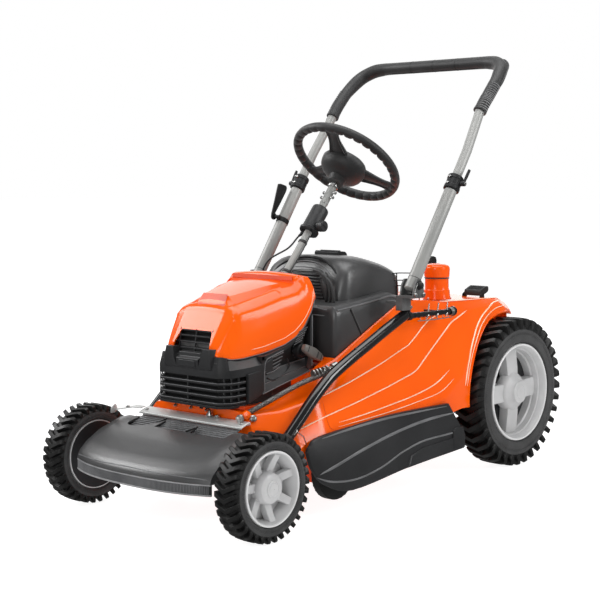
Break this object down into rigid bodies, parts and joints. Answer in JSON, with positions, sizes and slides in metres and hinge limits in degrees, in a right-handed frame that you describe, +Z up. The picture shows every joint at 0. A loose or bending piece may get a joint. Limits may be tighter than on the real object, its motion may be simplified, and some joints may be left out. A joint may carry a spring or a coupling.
{
  "type": "lawn mower",
  "caption": "Walk-behind lawn mower with a steered front axle, hooded engine, cutting deck, lugged wheels and a folding telescopic push bar.",
  "frame": {"origin": "on the ground under the middle of the overall length and width", "axes": "+Z up, +Y towards the operator, +X towards the left side of the machine"},
  "size_m": [0.568, 1.225, 0.966],
  "materials": {
    "orange_gloss": "smooth glossy orange moulding",
    "dark_plastic": "satin charcoal moulding with a fine grain",
    "black_plastic": "satin black moulding",
    "tyre_rubber": "black lugged tyre rubber",
    "grey_plastic": "light grey moulded rim",
    "soft_rubber": "matt black rubber",
    "silver_metal": "satin silver tube",
    "cast_metal": "dark casting",
    "bright_steel": "plain steel",
    "black_paint": "gloss black paint on steel tube"
  },
  "bodies": {
    "chassis": {"deck_shell": "orange_gloss", "rear_axle": "bright_steel", "front_axle": "black_paint", "front_cover": "dark_plastic", "front_band": "black_plastic", "front_screen": "black_plastic", "front_strip": "silver_metal", "engine_block": "cast_metal", "spindle_housing": "bright_steel", "drive_belt": "soft_rubber", "engine_shroud": "black_plastic", "hood": "orange_gloss", "rear_box": "dark_plastic", "rear_box_cover": "dark_plastic", "steering_column": "silver_metal", "column_drum": "dark_plastic", "control_cable": "soft_rubber", "fuel_neck": "orange_gloss", "braided_hose": "bright_steel", "skirt_left": "black_plastic", "skirt_right": "black_plastic", "frame_tube_left": "black_paint", "frame_tube_right": "black_paint", "pivot_bracket_left": "silver_metal", "pivot_bracket_right": "silver_metal", "adjuster_rail_left": "black_paint", "adjuster_rail_right": "black_paint"},
    "engine_drive": {"crankshaft": "bright_steel"},
    "cutter": {"blade_spindle": "bright_steel", "blade": "bright_steel", "blade_bolt": "bright_steel"},
    "starter": {"starter_grip": "soft_rubber"},
    "steering": {"steering_wheel": "black_plastic", "steering_shaft": "bright_steel"},
    "switch": {"drum_switch": "black_plastic"},
    "track_rod": {"tie_rod": "bright_steel"},
    "steer_left": {"knuckle_left": "bright_steel"},
    "steer_right": {"knuckle_right": "bright_steel"},
    "front_wheel_left": {"front_tyre_left": "tyre_rubber", "front_rim_left": "grey_plastic"},
    "front_wheel_right": {"front_tyre_right": "tyre_rubber", "front_rim_right": "grey_plastic"},
    "rear_wheel_left": {"rear_tyre_left": "tyre_rubber", "rear_rim_left": "grey_plastic"},
    "rear_wheel_right": {"rear_tyre_right": "tyre_rubber", "rear_rim_right": "grey_plastic"},
    "gauge_left": {"gauge_wheel_left": "soft_rubber"},
    "gauge_right": {"gauge_wheel_right": "soft_rubber"},
    "handle_lower": {"lower_tube_left": "silver_metal", "lower_tube_right": "silver_metal", "collar_left": "black_plastic", "collar_right": "black_plastic"},
    "handle_upper": {"push_bar": "silver_metal", "bar_grip": "soft_rubber"},
    "clamp_left": {"clamp_lever_left": "black_plastic"},
    "clamp_right": {"clamp_lever_right": "black_plastic"},
    "paddle": {"control_paddle": "black_plastic"},
    "filler_cap": {"fuel_cap": "orange_gloss"},
    "height_control": {"height_lever": "black_plastic"},
    "latch": {"rear_latch": "black_plastic"}
  },
  "joints": [
    {"name": "steering_turn", "type": "hinge", "parent": "chassis", "child": "steering", "pos_m": [0, 0.0415, 0.718], "axis": [0, 0.6388, 0.7694], "range_deg": [-90, 90]},
    {"name": "steer_left_turn", "type": "hinge", "parent": "chassis", "child": "steer_left", "pos_m": [0.212, -0.4945, 0.105], "axis": [0, 0, 1], "range_deg": [-12.5, 12.5]},
    {"name": "steer_right_turn", "type": "hinge", "parent": "chassis", "child": "steer_right", "pos_m": [-0.212, -0.4945, 0.105], "axis": [0, 0, 1], "range_deg": [-12.5, 12.5]},
    {"name": "track_rod_slide", "type": "slide", "parent": "chassis", "child": "track_rod", "axis": [-1, 0, 0], "range_m": [-0.01, 0.01]},
    {"name": "front_left_spin", "type": "hinge", "parent": "steer_left", "child": "front_wheel_left", "pos_m": [0.254, -0.4945, 0.105], "axis": [1, 0, 0], "continuous": true},
    {"name": "front_right_spin", "type": "hinge", "parent": "steer_right", "child": "front_wheel_right", "pos_m": [-0.254, -0.4945, 0.105], "axis": [1, 0, 0], "continuous": true},
    {"name": "rear_left_spin", "type": "hinge", "parent": "chassis", "child": "rear_wheel_left", "pos_m": [0.174, 0.4355, 0.177], "axis": [1, 0, 0], "continuous": true},
    {"name": "rear_right_spin", "type": "hinge", "parent": "chassis", "child": "rear_wheel_right", "pos_m": [-0.174, 0.4355, 0.177], "axis": [1, 0, 0], "continuous": true},
    {"name": "gauge_left_spin", "type": "hinge", "parent": "chassis", "child": "gauge_left", "pos_m": [0.2, -0.2295, 0.088], "axis": [1, 0, 0], "continuous": true},
    {"name": "gauge_right_spin", "type": "hinge", "parent": "chassis", "child": "gauge_right", "pos_m": [-0.2, -0.2295, 0.088], "axis": [1, 0, 0], "continuous": true},
    {"name": "crank_spin", "type": "hinge", "parent": "chassis", "child": "engine_drive", "pos_m": [0, -0.3145, 0.185], "axis": [0, 0, 1], "continuous": true},
    {"name": "cutter_spin", "type": "hinge", "parent": "chassis", "child": "cutter", "pos_m": [0, -0.0545, 0.185], "axis": [0, 0, 1], "continuous": true},
    {"name": "starter_pull", "type": "slide", "parent": "chassis", "child": "starter", "axis": [1, 0, 0], "range_m": [0, 0.04], "stiffness_N_per_m": 60},
    {"name": "switch_rock", "type": "hinge", "parent": "chassis", "child": "switch", "pos_m": [0.03, -0.07412, 0.57874], "axis": [1, 0, 0], "range_deg": [-20, 20]},
    {"name": "handle_fold", "type": "hinge", "parent": "chassis", "child": "handle_lower", "pos_m": [0, -0.0085, 0.457], "axis": [1, 0, 0], "range_deg": [0, 122]},
    {"name": "handle_slide", "type": "slide", "parent": "handle_lower", "child": "handle_upper", "axis": [0, -0.5606, -0.8281], "range_m": [0, 0.055]},
    {"name": "clamp_left_turn", "type": "hinge", "parent": "handle_lower", "child": "clamp_left", "pos_m": [0.252, 0.13614, 0.67064], "axis": [1, 0, 0], "range_deg": [-80, 0]},
    {"name": "clamp_right_turn", "type": "hinge", "parent": "handle_lower", "child": "clamp_right", "pos_m": [-0.252, 0.13614, 0.67064], "axis": [1, 0, 0], "range_deg": [-80, 0]},
    {"name": "paddle_swing", "type": "hinge", "parent": "handle_lower", "child": "paddle", "pos_m": [-0.235, 0.05738, 0.59354], "axis": [1, 0, 0], "range_deg": [0, 20]},
    {"name": "filler_cap_turn", "type": "hinge", "parent": "chassis", "child": "filler_cap", "pos_m": [0.1, 0.2485, 0.47], "axis": [0, 0, 1], "range_deg": [0, 180]},
    {"name": "height_lever_tilt", "type": "hinge", "parent": "chassis", "child": "height_control", "pos_m": [0, 0.3505, 0.384], "axis": [1, 0, 0], "range_deg": [-8, 8]},
    {"name": "latch_lift", "type": "hinge", "parent": "chassis", "child": "latch", "pos_m": [0.09, 0.4075, 0.406], "axis": [1, 0, 0], "range_deg": [0, 70]}
  ],
  "couplings": [
    {"joint": "steer_left_turn", "follows": "steering_turn", "ratio": 0.13333},
    {"joint": "steer_right_turn", "follows": "steering_turn", "ratio": 0.13333},
    {"joint": "track_rod_slide", "follows": "steering_turn", "m_per_rad": 0.006},
    {"joint": "cutter_spin", "follows": "crank_spin", "ratio": 0.66667}
  ]
}
